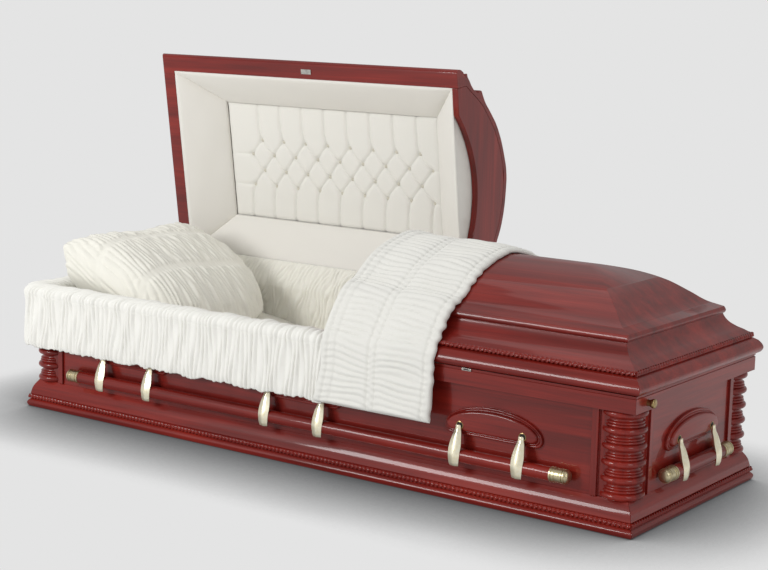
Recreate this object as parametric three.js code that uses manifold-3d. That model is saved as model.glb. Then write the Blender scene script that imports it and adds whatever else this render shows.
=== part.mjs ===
// Wooden funeral casket with a split lid: head lid open, foot lid closed under a quilted blanket.
// Millimetres. X runs along the length with the head at -X, the front is at -Y, Z is up.
// The origin is the middle of the underside. "Inset" is a distance in from the outer edge of the base.
import * as THREE from "three";
import { mergeVertices } from "three/addons/utils/BufferGeometryUtils.js";
import Module from "manifold-3d";

const wasm = await Module();
wasm.setup();

// Driving sizes
const LENGTH = 2100; // base, outer edge to outer edge
const WIDTH = 705;
const BASE_HEIGHT = 84; // top of the base moulding
const RAIL_BOTTOM = 307; // body rail under the lid
const RAIL_TOP = 351.5;
const LID_BOTTOM = 355; // rim of both lids when closed
const LID_TOP = 599; // ridge of the dome
const SPLIT = 108; // X of the joint between the two lids
const SPLIT_GAP = 4; // clearance between the lids
const OPEN_DEG = 81.6; // how far the head lid stands open
const GAP = 0.3; // clearance between pieces that touch

const PANEL_INSET = 28; // face of the side panels
const INNER_INSET = 44; // inside face of walls, rails and base
const RAIL_INSET = 10.3; // face of the rails
const FLOOR_THICK = 18;

const STRIP_OUTER = 134; // pilaster strip, far edge from the corner
const STRIP_WIDTH = 18;
const STRIP_INSET = 22;
const COLUMN_CENTRE = 66; // axis of the turned corner column, inset both ways
const COLUMN_RECESS = 30; // inset of the wings behind it
const WING_END = 88; // inner end of a wing, from the corner
const RING_CREST = 10; // inset of the widest part of a ring
const RING_VALLEY = 21;
const RING_COUNT = 6;
const RING_LAP = 4; // how far rings and wings reach into each other

const LID_RIM = 48; // inset of the inside edge of the lid rim
const LID_WALL = 16;
const RIDGE_HALF = 7.5; // half width of the flat ridge
const HEADER_THICK = 20; // board that closes the split end of a lid
const ARCH_HALF = 225; // arched opening in that board
const ARCH_RISE = 79;

const HINGE_OUT = 9; // hinge axis, beyond the outer edge of the base
const HINGE_RISE = 3.7; // hinge axis above the lid rim
const BARREL_RADIUS = 3.5;
const LEAF_HEIGHT = 31; // hinge leaf on the back rail
const LEAF_THICK = 3;
const HINGE_REACH = 960; // outer ends of both hinges from the middle
const HINGE_HEAD_END = 10; // inner ends of the two hinges
const HINGE_FOOT_END = 200;

const LINING_THICK = 12;
const LINING_DROP = 2; // its top edge below the rail top
const MATTRESS_TOP = 230;
const MATTRESS_HEAD_RISE = 100; // the bed is tilted up at the head
const MATTRESS_TILT_FROM = 600; // length of the tilted part
const PILLOW_CLEAR = 5.3; // between the pillow and the lining

const PUFF_DEPTH = 103; // sloped padding in the head lid
const PUFF_RUN_SIDE = 113;
const PUFF_RUN_END = 127;
const PUFF_THICK = 18;
const PUFF_START = 2; // outer edge of the padding above the lid rim

const SKIRT_HEM = 192;
const SKIRT_THICK = 10;
const SKIRT_ROLL = 28; // height of the roll over the rail
const SKIRT_REACH = 56; // inner edge of the roll
const SKIRT_BACK = 27; // the skirt ends this far before the back edge

const BLANKET_FROM = 112;
const BLANKET_TO = 470;
const BLANKET_HEM = 205;
const BLANKET_THICK = 18;
const BLANKET_ROLL = 40; // thickness of the rolled edge at the split
const BLANKET_ROLL_WIDTH = 70;

const PIVOT_HEIGHT = 197; // swing axis of the handles
const BAR_INSET = 5;
const BAR_HEIGHT = 123;
const BAR_RADIUS = 18;
const BAR_BACK_FROM_END = 179; // ends of the long bars, from the ends of the base
const BAR_HALF_END = 189;
const FERRULE = 52;
const ARM_SPREAD = 94; // half distance between the two arms of a pair
const PAIR_FROM_END = 417.5; // middle of the end pairs, from the ends of the base
const PLATE_HALF = 146;
const PLATE_BOTTOM = 174;
const PLATE_TOP = 256;
const PLATE_STEP_INSET = 20;
const PLATE_FACE_INSET = 12;
const PLATE_BORDER = 15; // width of the stepped edge
const PLATE_CORNER = 18;
const ARM_ROOM = 30; // half length of the hollow that clears the bar

const KNOB_FROM_CORNER = 72.5;
const KNOB_HEIGHT = 327;
const KNOB_RADIUS = 11;
const KNOB_OUT = 10; // tip of the knob beyond the base edge

const CATCH_X = -452;
const CATCH_INSET = 25;
const CATCH_SIZE = [38, 15, 1.8];

// Base moulding outline: inset, share of the moulding height. The bead between 0.30 and 0.44 is a rope.
const BASE_OUTLINE = [
  [6, 0], [2.6, 0.04], [0, 0.13], [2, 0.2], [7, 0.3], [4.7, 0.37], [7, 0.44],
  [9.7, 0.55], [12.7, 0.69], [18, 0.82], [24.8, 0.94], [28, 1],
];
// Lid moulding outline: inset, height above the lid rim.
const LID_MOULDING = [
  [7, 0], [-2.4, 6], [-4.9, 14], [-1.5, 24], [6, 34], [17, 41], [18, 49], [24, 57], [30, 60],
  [51, 73], [66, 85], [75, 97], [80, 108], [75, 118], [78, 127],
];
// Lid dome outline above the moulding: share of the run to the ridge, share of the rise.
const LID_DOME = [[0.139, 0.145], [0.27, 0.37], [0.442, 0.632], [0.659, 0.838], [0.906, 0.974], [1, 1]];
// Inside of the lid below the dome: inset beyond the rim, height above the rim.
const LID_INSIDE = [[0, 0], [0, 45], [52, 107]];

const rad = THREE.MathUtils.degToRad;
const HALF_L = LENGTH / 2;
const HALF_W = WIDTH / 2;
const HINGE_Y = HALF_W + HINGE_OUT;
const HINGE_Z = LID_BOTTOM + HINGE_RISE;

// The four sides of the body. A side is drawn along X at the front and turned into place.
const FRONT = { turn: 0, half: HALF_W, run: HALF_L };
const FOOT = { turn: 90, half: HALF_L, run: HALF_W };
const BACK = { turn: 180, half: HALF_W, run: HALF_L };
const HEAD = { turn: 270, half: HALF_L, run: HALF_W };
const SIDES = { front: FRONT, foot: FOOT, back: BACK, head: HEAD };

// Triangles that fill a flat ring of points, wound like the ring.
function capTriangles(ring) {
  const normal = new THREE.Vector3();
  ring.forEach((p, i) => {
    const q = ring[(i + 1) % ring.length];
    normal.x += (p[1] - q[1]) * (p[2] + q[2]);
    normal.y += (p[2] - q[2]) * (p[0] + q[0]);
    normal.z += (p[0] - q[0]) * (p[1] + q[1]);
  });
  const size = normal.toArray().map(Math.abs);
  const drop = size.indexOf(Math.max(...size));
  const flat = ring.map((p) => new THREE.Vector2(...p.filter((_, i) => i !== drop)));
  const faces = THREE.ShapeUtils.triangulateShape(flat, []);
  return faces.map((face) => {
    const [a, b, c] = face.map((i) => new THREE.Vector3(...ring[i]));
    const out = b.sub(a).cross(c.sub(a));
    return out.dot(normal) < 0 ? [face[0], face[2], face[1]] : face;
  });
}

// Closed solid through a row of rings that have the same number of points.
function loft(rings, closed = false) {
  const count = rings[0].length;
  const faces = [];
  const spans = closed ? rings.length : rings.length - 1;
  for (let k = 0; k < spans; k++) {
    const here = k * count;
    const next = ((k + 1) % rings.length) * count;
    for (let i = 0; i < count; i++) {
      const j = (i + 1) % count;
      faces.push([here + i, here + j, next + j], [here + i, next + j, next + i]);
    }
  }
  if (!closed) {
    const last = (rings.length - 1) * count;
    for (const [a, b, c] of capTriangles(rings[0])) faces.push([a, c, b]);
    for (const face of capTriangles(rings.at(-1))) faces.push(face.map((i) => i + last));
  }
  const points = rings.flat().map((p) => new THREE.Vector3(...p));
  let volume = 0;
  for (const [a, b, c] of faces) volume += points[a].dot(points[b].clone().cross(points[c]));
  const outward = volume < 0 ? faces.map(([a, b, c]) => [a, c, b]) : faces;
  const geometry = new THREE.BufferGeometry().setFromPoints(points);
  geometry.setIndex(outward.flat());
  return geometry;
}

function block([x0, x1], [y0, y1], [z0, z1]) {
  const ring = (z) => [[x0, y0, z], [x1, y0, z], [x1, y1, z], [x0, y1, z]];
  return loft([ring(z0), ring(z1)]);
}

// Rings around the X axis: each station is [x, radius].
function turnedRod(stations, segments) {
  return loft(
    stations.map(([x, radius]) =>
      Array.from({ length: segments }, (_, i) => {
        const angle = ((i + 0.5) / segments) * 2 * Math.PI;
        return [x, radius * Math.cos(angle), radius * Math.sin(angle)];
      }),
    ),
  );
}

function toSolid(geometry) {
  const bare = new THREE.BufferGeometry();
  bare.setAttribute("position", geometry.getAttribute("position"));
  bare.setIndex(geometry.index);
  const merged = mergeVertices(bare, 1e-4);
  const mesh = new wasm.Mesh({
    numProp: 3,
    vertProperties: new Float32Array(merged.attributes.position.array),
    triVerts: new Uint32Array(merged.index.array),
  });
  return new wasm.Manifold(mesh);
}

function fromSolid(solid) {
  const mesh = solid.getMesh();
  const geometry = new THREE.BufferGeometry();
  geometry.setAttribute("position", new THREE.BufferAttribute(mesh.vertProperties, 3));
  geometry.setIndex(new THREE.BufferAttribute(mesh.triVerts, 1));
  return geometry;
}

const joined = (a, b) => fromSolid(toSolid(a).add(toSolid(b)));
const cut = (a, b) => fromSolid(toSolid(a).subtract(toSolid(b)));

const onSide = (side, geometry) => geometry.rotateZ(rad(side.turn));

// A moulded length on one side, mitred at both ends. The outline is in inset and height.
function mitredRun(side, outline) {
  const end = (sign) =>
    outline.map(([inset, z]) => [sign * (side.run - inset - GAP), inset - side.half, z]);
  return onSide(side, loft([end(-1), end(1)]));
}

const material = (color, roughness, metalness = 0) =>
  new THREE.MeshStandardMaterial({ color, roughness, metalness });
const wood = () => material(0x6b1f1c, 0.25);
const cloth = () => material(0xefe9dc, 0.9);
const brass = () => material(0x8a6f45, 0.35, 1);
const gold = () => material(0xc9b07c, 0.3, 1);
const steel = () => material(0x9a9a98, 0.35, 1);

const casket = new THREE.Group();
casket.name = "casket";
const headLid = new THREE.Group();
headLid.position.set(0, HINGE_Y, HINGE_Z);
headLid.rotation.x = -rad(OPEN_DEG);
casket.add(headLid);

function add(name, geometry, surface, parent = casket) {
  const flat = geometry.toNonIndexed();
  flat.computeVertexNormals();
  if (parent === headLid) flat.translate(0, -HINGE_Y, -HINGE_Z);
  const mesh = new THREE.Mesh(flat, surface);
  mesh.name = name;
  parent.add(mesh);
}

// Body

const inner = INNER_INSET + GAP;
add(
  "floor_board",
  block([inner - HALF_L, HALF_L - inner], [inner - HALF_W, HALF_W - inner], [0, FLOOR_THICK]),
  wood(),
);

const baseOutline = [
  ...BASE_OUTLINE.map(([inset, share]) => [inset, share * BASE_HEIGHT]),
  [INNER_INSET, BASE_HEIGHT],
  [INNER_INSET, 0],
];
const GROOVE = { depth: 2, from: 7.5, to: 4 }; // fine line below the rail top
const railOutline = [
  [RAIL_INSET, RAIL_BOTTOM],
  [RAIL_INSET, RAIL_TOP - GROOVE.from],
  [RAIL_INSET + GROOVE.depth, RAIL_TOP - GROOVE.from + 1],
  [RAIL_INSET + GROOVE.depth, RAIL_TOP - GROOVE.to],
  [RAIL_INSET, RAIL_TOP - GROOVE.to + 1],
  [RAIL_INSET, RAIL_TOP],
  [INNER_INSET, RAIL_TOP],
  [INNER_INSET, RAIL_BOTTOM],
];
const WALL_Z = [BASE_HEIGHT + GAP, RAIL_BOTTOM - GAP];

for (const [name, side] of Object.entries(SIDES)) {
  add(`base_moulding_${name}`, mitredRun(side, baseOutline), wood());
  add(`top_rail_${name}`, mitredRun(side, railOutline), wood());
  const reach = side.run - STRIP_OUTER - GAP;
  const panel = block([-reach, reach], [PANEL_INSET - side.half, INNER_INSET - side.half], WALL_Z);
  add(`wall_panel_${name}`, onSide(side, panel), wood());
}

// Corner column drawn with its corner at the origin, reaching to -X and +Y.
function cornerColumn() {
  const wingLap = INNER_INSET - RING_LAP;
  const wing = [
    [STRIP_OUTER, INNER_INSET],
    [STRIP_OUTER, STRIP_INSET],
    [STRIP_OUTER - STRIP_WIDTH, STRIP_INSET],
    [STRIP_OUTER - STRIP_WIDTH, COLUMN_RECESS],
    [WING_END, COLUMN_RECESS],
    [WING_END, wingLap],
  ];
  const mirrored = wing.map(([u, v]) => [v, u]).reverse();
  const backing = [...wing, [wingLap, wingLap], ...mirrored, [INNER_INSET, INNER_INSET]];
  const backingAt = (z) => backing.map(([u, v]) => [-u, v, z]);
  const ringAt = ([z, inset]) => {
    const radius = COLUMN_CENTRE - inset;
    const past = Math.acos((COLUMN_CENTRE - COLUMN_RECESS - RING_LAP / 2) / radius);
    const swept = Math.PI / 2 + 2 * past;
    const arc = [0, 1, 2, 3, 4, 5, 6].map((k) => {
      const angle = (k / 6) * swept - past;
      return [COLUMN_CENTRE - radius * Math.sin(angle), COLUMN_CENTRE - radius * Math.cos(angle)];
    });
    const deep = INNER_INSET - RING_LAP / 2;
    const plan = [[arc[0][0], deep], ...arc, [deep, arc[0][0]], [deep, deep]];
    return plan.map(([u, v]) => [-u, v, z]);
  };
  const height = WALL_Z[1] - WALL_Z[0];
  const pitch = height / (RING_COUNT - 0.6);
  const bead = (RING_CREST + RING_VALLEY) / 2;
  const shape = [
    [-0.2, RING_VALLEY], [-0.13, RING_CREST], [0.13, RING_CREST],
    [0.22, bead], [0.56, bead], [0.64, RING_VALLEY],
  ];
  const stations = [[WALL_Z[0], RING_CREST]];
  for (let k = 0; k < RING_COUNT; k++)
    for (const [share, inset] of shape) {
      const z = WALL_Z[0] + (k + 0.2 + share) * pitch;
      if (z > WALL_Z[0] + height / 100 && z < WALL_Z[1] - height / 100) stations.push([z, inset]);
    }
  stations.push([WALL_Z[1], stations.at(-1)[1]]);
  return joined(loft(stations.map(ringAt)), loft(WALL_Z.map(backingAt)));
}

const CORNERS = { front_foot: 0, back_foot: 90, back_head: 180, front_head: 270 };
for (const [name, turn] of Object.entries(CORNERS)) {
  const column = cornerColumn().rotateZ(rad(turn));
  const x = name.endsWith("foot") ? HALF_L : -HALF_L;
  const y = name.startsWith("back") ? HALF_W : -HALF_W;
  add(`corner_column_${name}`, column.translate(x, y, 0), wood());
}

// Handles

// Outline of a handle plate: flat foot with round corners, half oval above.
function plateRing(half, bottom, top, inset, y) {
  const corner = PLATE_CORNER;
  const points = [];
  for (const deg of [-90, -45, 0])
    points.push([half - corner + corner * Math.cos(rad(deg)), bottom + corner + corner * Math.sin(rad(deg))]);
  for (let deg = 15; deg < 180; deg += 15)
    points.push([half * Math.cos(rad(deg)), bottom + corner + (top - bottom - corner) * Math.sin(rad(deg))]);
  for (const deg of [180, 225, 270])
    points.push([corner - half + corner * Math.cos(rad(deg)), bottom + corner + corner * Math.sin(rad(deg))]);
  const middle = (bottom + top) / 2;
  const shrinkX = (half - inset) / half;
  const shrinkZ = (top - middle - inset) / (top - middle);
  return points.map(([x, z]) => [x * shrinkX, y, middle + (z - middle) * shrinkZ]);
}

function handlePlate(side, x) {
  const ring = (inset, depth) => plateRing(PLATE_HALF, PLATE_BOTTOM, PLATE_TOP, inset, depth - side.half);
  const plate = loft([
    ring(0, PANEL_INSET - GAP),
    ring(0, PLATE_STEP_INSET),
    ring(PLATE_BORDER * 0.6, PLATE_STEP_INSET - 1),
    ring(PLATE_BORDER, PLATE_FACE_INSET),
  ]);
  return onSide(side, plate.translate(x, 0, 0));
}

// Handle bar along X with a stepped ferrule at each end, centred on its own axis.
function barRod(half) {
  const end = [
    [FERRULE, BAR_RADIUS], [FERRULE - 1, BAR_RADIUS + 1.5], [FERRULE - 8, BAR_RADIUS + 1.5],
    [FERRULE - 9, BAR_RADIUS + 0.3], [12, BAR_RADIUS + 0.3], [11, BAR_RADIUS + 1.5],
    [4, BAR_RADIUS + 1], [0, BAR_RADIUS - 5],
  ];
  const near = end.map(([back, radius]) => [back - half, radius]).reverse();
  const far = end.map(([back, radius]) => [half - back, radius]);
  return turnedRod([...near, ...far], 12);
}

// Leaf shaped arm: height from the pivot, inset of back and front, half width.
const ARM = [
  [5, 7.9, 5.4, 4], [3, 10, 3, 6], [-4, 11, 2, 6.5], [-12, 9.5, -1, 8.5], [-25, 5, -7, 11.5],
  [-46, -1, -13.5, 14.5], [-62, -6, -17.5, 14.5], [-74, -8, -18.5, 14], [-90, -8, -17, 12.5],
  [-100, -6, -13.5, 11],
];

function handleArm(side, x) {
  const stations = ARM.map(([drop, back, front, wide]) => {
    const z = PIVOT_HEIGHT + drop;
    const [yBack, yFront] = [back - side.half, front - side.half];
    return [[-wide, yBack, z], [wide, yBack, z], [wide, yFront, z], [-wide, yFront, z]];
  });
  const clear = BAR_RADIUS + 2 * GAP;
  const room = turnedRod([[-ARM_ROOM, clear], [ARM_ROOM, clear]], 12);
  const arm = cut(loft(stations), room.translate(0, BAR_INSET - side.half, BAR_HEIGHT));
  return onSide(side, arm.translate(x, 0, 0));
}

for (const [name, side] of Object.entries(SIDES)) {
  const long = side.half === HALF_W;
  const centres = long ? [PAIR_FROM_END - HALF_L, 0, HALF_L - PAIR_FROM_END] : [0];
  centres.forEach((x, i) => {
    add(`handle_plate_${name}${long ? `_${i + 1}` : ""}`, handlePlate(side, x), wood());
    [-ARM_SPREAD, ARM_SPREAD].forEach((offset, j) =>
      add(`handle_arm_${name}_${2 * i + j + 1}`, handleArm(side, x + offset), gold()),
    );
  });
  const bar = barRod(long ? HALF_L - BAR_BACK_FROM_END : BAR_HALF_END);
  add(`handle_bar_${name}`, onSide(side, bar.translate(0, BAR_INSET - side.half, BAR_HEIGHT)), wood());
}

// Lock knob on the foot rail
const knobLength = RAIL_INSET - GAP + KNOB_OUT;
const knob = turnedRod(
  [
    [0, KNOB_RADIUS * 0.75], [knobLength * 0.4, KNOB_RADIUS * 0.75], [knobLength * 0.45, KNOB_RADIUS],
    [knobLength * 0.9, KNOB_RADIUS], [knobLength, KNOB_RADIUS * 0.8],
  ],
  14,
);
add("lock_knob", knob.translate(HALF_L - RAIL_INSET + GAP, KNOB_FROM_CORNER - HALF_W, KNOB_HEIGHT), brass());

// Lids

const domeStart = LID_MOULDING.at(-1);
const domeRun = HALF_W - RIDGE_HALF - domeStart[0];
const domeRise = LID_TOP - LID_BOTTOM - domeStart[1];
const dome = LID_DOME.map(([run, rise]) => [domeStart[0] + run * domeRun, domeStart[1] + rise * domeRise]);

// Outline points moved square to the outline, outward when positive. None passes the ridge.
function movedOut(points, distance) {
  return points.map(([inset, height], i) => {
    const before = points[i - 1] ?? [inset, height];
    const after = points[i + 1] ?? [inset + 1, height];
    const [run, rise] = [after[0] - before[0], after[1] - before[1]];
    const size = Math.hypot(run, rise);
    const moved = Math.min(inset - (distance * rise) / size, HALF_W - RIDGE_HALF);
    return [moved, height + (distance * run) / size];
  });
}
const domeMoved = (distance) => movedOut([domeStart, ...dome], distance).slice(1);

// Insets of the inside of a lid, with heights above the rim.
const lidInside = [
  ...LID_INSIDE.map(([inset, height]) => [LID_RIM + inset, height]),
  ...domeMoved(-LID_WALL),
];

// Nested rectangles from the split to one end of the casket. Toward is 1 for the foot and -1 for the head.
function lidBody(outline, split, toward) {
  return loft(
    outline.map(([inset, height]) => {
      const far = toward * (HALF_L - inset);
      const y = HALF_W - inset;
      const z = LID_BOTTOM + height;
      return [[split, -y, z], [far, -y, z], [far, y, z], [split, y, z]];
    }),
  );
}

function lidShell(split, toward) {
  const outside = lidBody([...LID_MOULDING, ...dome], split, toward);
  const beyond = LID_WALL;
  const below = [lidInside[0][0], -beyond];
  return cut(outside, lidBody([below, ...lidInside.slice(1)], split - toward * beyond, toward));
}

function headerBoard(split, toward) {
  const side = lidInside.map(([inset, height]) => [
    HALF_W - inset - 2 * GAP,
    LID_BOTTOM + Math.max(height - 2 * GAP, 0),
  ]);
  const arch = [];
  for (let k = -6; k <= 6; k++)
    arch.push([(k / 6) * ARCH_HALF, LID_BOTTOM + ARCH_RISE * (1 - (k / 6) ** 2)]);
  const outline = [...arch, ...side, ...side.map(([y, z]) => [-y, z]).reverse()];
  const ring = (x) => outline.map(([y, z]) => [x, y, z]);
  return loft([ring(split), ring(split + toward * HEADER_THICK)]);
}

const headSplit = SPLIT - SPLIT_GAP / 2;
const footSplit = SPLIT + SPLIT_GAP / 2;
add("head_lid_shell", lidShell(headSplit, -1), wood(), headLid);
add("head_lid_header", headerBoard(headSplit, -1), wood(), headLid);
add("foot_lid_shell", lidShell(footSplit, 1), wood());
add("foot_lid_header", headerBoard(footSplit, 1), wood());

// Sloped padding around the inside of the head lid, and the tufted panel in the middle of it
const puffRight = headSplit - HEADER_THICK - GAP;
const rimInset = LID_RIM + GAP;
function puffRing(share, height) {
  const x0 = -HALF_L + rimInset + share * PUFF_RUN_END;
  const x1 = puffRight - share * PUFF_RUN_END;
  const y = HALF_W - rimInset - share * PUFF_RUN_SIDE;
  const z = LID_BOTTOM + height;
  return [[x0, -y, z], [x1, -y, z], [x1, y, z], [x0, y, z]];
}
const puffRings = [
  puffRing(0, PUFF_START), puffRing(1, PUFF_DEPTH),
  puffRing(1, PUFF_DEPTH + PUFF_THICK), puffRing(0, PUFF_START + PUFF_THICK),
];
add("head_lid_puff", loft(puffRings, true), cloth(), headLid);
const [low, , high] = puffRing(1, PUFF_DEPTH + 2 * GAP);
add(
  "head_lid_tufted_panel",
  block(
    [low[0] + GAP, high[0] - GAP],
    [low[1] + GAP, high[1] - GAP],
    [low[2], low[2] + PUFF_THICK * 0.9],
  ),
  cloth(),
  headLid,
);

// Catch plate under the front rim of the head lid
const catchY = CATCH_INSET - HALF_W;
const catchTop = LID_BOTTOM - GAP;
add(
  "head_lid_catch_plate",
  block(
    [CATCH_X - CATCH_SIZE[0] / 2, CATCH_X + CATCH_SIZE[0] / 2],
    [catchY - CATCH_SIZE[1] / 2, catchY + CATCH_SIZE[1] / 2],
    [catchTop - CATCH_SIZE[2], catchTop],
  ),
  steel(),
  headLid,
);

// Hinges: a leaf on the back rail that carries a barrel on the lid axis
const leafBack = HALF_W - RAIL_INSET + GAP;
const leafFace = leafBack + LEAF_THICK;
const barrel = [HINGE_Y - BARREL_RADIUS, HINGE_Y + BARREL_RADIUS];
const hingeOutline = [
  [leafBack, RAIL_TOP - LEAF_HEIGHT], [leafFace, RAIL_TOP - LEAF_HEIGHT],
  [leafFace, RAIL_TOP - LEAF_HEIGHT * 0.42],
  [barrel[1], HINGE_Z - BARREL_RADIUS * 1.7], [barrel[1], HINGE_Z + BARREL_RADIUS],
  [barrel[0], HINGE_Z + BARREL_RADIUS], [barrel[0], HINGE_Z - BARREL_RADIUS * 1.43],
  [leafBack, RAIL_TOP - LEAF_HEIGHT * 0.24],
];
const hinge = (x0, x1) => loft([x0, x1].map((x) => hingeOutline.map(([y, z]) => [x, y, z])));
add("hinge_head", hinge(-HINGE_REACH, HINGE_HEAD_END), brass());
add("hinge_foot", hinge(HINGE_FOOT_END, HINGE_REACH), brass());

// Soft furnishing

function rectangle(inset, z) {
  const [x, y] = [HALF_L - inset, HALF_W - inset];
  return [[-x, -y, z], [x, -y, z], [x, y, z], [-x, y, z]];
}
const liningOuter = INNER_INSET + 2 * GAP;
const liningInner = liningOuter + LINING_THICK;
const [liningLow, liningHigh] = [FLOOR_THICK + GAP, RAIL_TOP - LINING_DROP];
add(
  "interior_lining",
  loft(
    [
      rectangle(liningOuter, liningLow), rectangle(liningOuter, liningHigh),
      rectangle(liningInner, liningHigh), rectangle(liningInner, liningLow),
    ],
    true,
  ),
  cloth(),
);

const bedX = HALF_L - liningInner - GAP;
const bedY = HALF_W - liningInner - GAP;
const bedOutline = [
  [bedX, liningLow], [bedX, MATTRESS_TOP], [MATTRESS_TILT_FROM - bedX, MATTRESS_TOP],
  [-bedX, MATTRESS_TOP + MATTRESS_HEAD_RISE], [-bedX, liningLow],
];
const bedRing = (y) => bedOutline.map(([x, z]) => [x, y, z]);
add("mattress", loft([bedRing(-bedY), bedRing(bedY)]), cloth());

// Pillow outline: distance from the head end of the bed, height above the level bed.
const PILLOW = [
  [3, 104], [470, 25], [488, 38], [473, 72], [393, 165],
  [293, 232], [193, 280], [93, 303], [33, 298], [5, 275],
];
const pillowHalf = bedY - PILLOW_CLEAR;
function pillowRing(y, scale) {
  const outline = PILLOW.map(([back, rise]) => [back - bedX, MATTRESS_TOP + rise]);
  const x = outline.reduce((sum, p) => sum + p[0], 0) / outline.length;
  const z = outline.reduce((sum, p) => sum + p[1], 0) / outline.length;
  return outline.map((p) => [x + (p[0] - x) * scale, y, z + (p[1] - z) * scale]);
}
const pillowRings = [[-1, 0.78], [-0.92, 0.94], [-0.75, 1], [0.75, 1], [0.92, 0.94], [1, 0.78]];
add("pillow", loft(pillowRings.map(([share, scale]) => pillowRing(share * pillowHalf, scale))), cloth());

// Skirt that hangs outside the front and the head end and rolls in over the rail: inset and height
const skirtInside = -3.5;
const skirtOutside = skirtInside - SKIRT_THICK;
const rest = RAIL_TOP + GAP;
const skirtOutline = [
  [skirtInside, SKIRT_HEM], [skirtOutside, SKIRT_HEM], [skirtOutside, rest],
  [skirtOutside + 4, rest + SKIRT_ROLL * 0.57], [4, rest + SKIRT_ROLL * 0.93], [30, rest + SKIRT_ROLL],
  [SKIRT_REACH - 8, rest + SKIRT_ROLL * 0.8], [SKIRT_REACH, rest + SKIRT_ROLL * 0.35], [SKIRT_REACH, rest],
  [skirtInside, rest],
];
add(
  "skirt",
  loft([
    skirtOutline.map(([inset, z]) => [headSplit - SPLIT_GAP / 2, inset - HALF_W, z]),
    skirtOutline.map(([inset, z]) => [inset - HALF_L, inset - HALF_W, z]),
    skirtOutline.map(([inset, z]) => [inset - HALF_L, HALF_W - SKIRT_BACK, z]),
  ]),
  cloth(),
);

// Blanket over the foot lid: insets of its underside, with heights above the lid rim
const drop = BLANKET_HEM - LID_BOTTOM;
const FLAP = [[-22, drop], [-13, drop * 0.45], [-9, 14]];
const under = [...FLAP, [2, 38], [27, 77], [71, 130], ...domeMoved(3)];
function blanketRing(x, thick) {
  const over = movedOut(under, thick);
  const front = (outline) => outline.map(([inset, height]) => [inset - HALF_W, LID_BOTTOM + height]);
  const back = (outline) => front(outline.slice(FLAP.length)).map(([y, z]) => [-y, z]).reverse();
  const whole = (outline) => [...front(outline), ...back(outline)];
  return [...whole(under), ...whole(over).reverse()].map(([y, z]) => [x, y, z]);
}
add(
  "blanket",
  loft([
    blanketRing(BLANKET_FROM, BLANKET_ROLL * 0.8),
    blanketRing(BLANKET_FROM + BLANKET_ROLL_WIDTH * 0.2, BLANKET_ROLL),
    blanketRing(BLANKET_FROM + BLANKET_ROLL_WIDTH, BLANKET_THICK),
    blanketRing(BLANKET_TO, BLANKET_THICK),
  ]),
  cloth(),
);

export default casket;
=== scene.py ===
import math

import bmesh
import bpy
import numpy as np
from mathutils import Matrix, Vector


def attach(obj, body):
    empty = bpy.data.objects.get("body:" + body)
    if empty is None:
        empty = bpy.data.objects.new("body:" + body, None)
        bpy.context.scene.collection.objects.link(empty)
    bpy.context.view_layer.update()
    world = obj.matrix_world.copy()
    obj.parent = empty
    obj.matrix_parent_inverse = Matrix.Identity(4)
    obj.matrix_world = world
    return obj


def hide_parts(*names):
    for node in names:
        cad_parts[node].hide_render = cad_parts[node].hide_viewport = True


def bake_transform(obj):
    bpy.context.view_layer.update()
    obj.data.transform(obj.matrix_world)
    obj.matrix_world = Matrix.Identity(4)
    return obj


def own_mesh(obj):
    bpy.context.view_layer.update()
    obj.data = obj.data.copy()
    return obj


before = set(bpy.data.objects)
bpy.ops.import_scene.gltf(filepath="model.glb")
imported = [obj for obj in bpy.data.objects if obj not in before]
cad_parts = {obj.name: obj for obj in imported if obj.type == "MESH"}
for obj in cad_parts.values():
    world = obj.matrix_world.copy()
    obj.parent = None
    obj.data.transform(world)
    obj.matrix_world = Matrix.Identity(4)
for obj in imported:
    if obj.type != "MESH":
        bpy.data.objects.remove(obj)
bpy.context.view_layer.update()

# Funeral casket with its head lid open. Shapes are worked out in millimetres, and piece() turns
# them into metres. X runs to the foot end, Y to the back and Z up. An inset is a distance in from
# the outer edge of the base, as in the CAD part.
MM = 0.001
HALF_L, HALF_W = 1050.0, 352.5
WALL_LOW, WALL_HIGH = 84.3, 306.7
INNER_INSET = 44.0
LID_BOTTOM = 355.0
HEAD_SPLIT, FOOT_SPLIT = 106.0, 110.0
OPEN = math.radians(81.6)
HINGE_Y, HINGE_Z = 361.5, 358.7
# Each side of the body with the cosine and sine of its turn about Z.
SIDES = {"front": (1, 0), "foot": (0, 1), "back": (-1, 0), "head": (0, -1)}
LONG_SIDES = ("front", "back")


# Shape helpers. A mesh is a pair of points and faces.

def half_of(side):
    """Distance from the middle of the casket to a side."""
    return HALF_W if side in LONG_SIDES else HALF_L


def run_of(side):
    """Half the length of a side."""
    return HALF_L if side in LONG_SIDES else HALF_W


def on_side(side, u, inset, z):
    """Points on one side of the body: u along it, inset from its outer edge."""
    u, inset, z = np.broadcast_arrays(*(np.asarray(v, float) for v in (u, inset, z)))
    c, s = SIDES[side]
    y = inset - half_of(side)
    return np.stack([c * u - s * y, s * u + c * y, z], -1)


def swung(mesh):
    """A mesh of the head lid drawn with the lid shut, turned to where the open lid stands."""
    p = np.array(mesh[0], float)
    dy, dz = p[..., 1] - HINGE_Y, p[..., 2] - HINGE_Z
    c, s = math.cos(OPEN), math.sin(OPEN)
    p[..., 1] = HINGE_Y + c * dy + s * dz
    p[..., 2] = HINGE_Z - s * dy + c * dz
    return p, mesh[1]


def arc(centre, radii, degrees):
    """Points of an ellipse, or of a circle, at the given angles."""
    a = np.radians(degrees)
    return np.stack([centre[0] + radii[0] * np.cos(a), centre[1] + radii[1] * np.sin(a)], -1)


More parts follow.
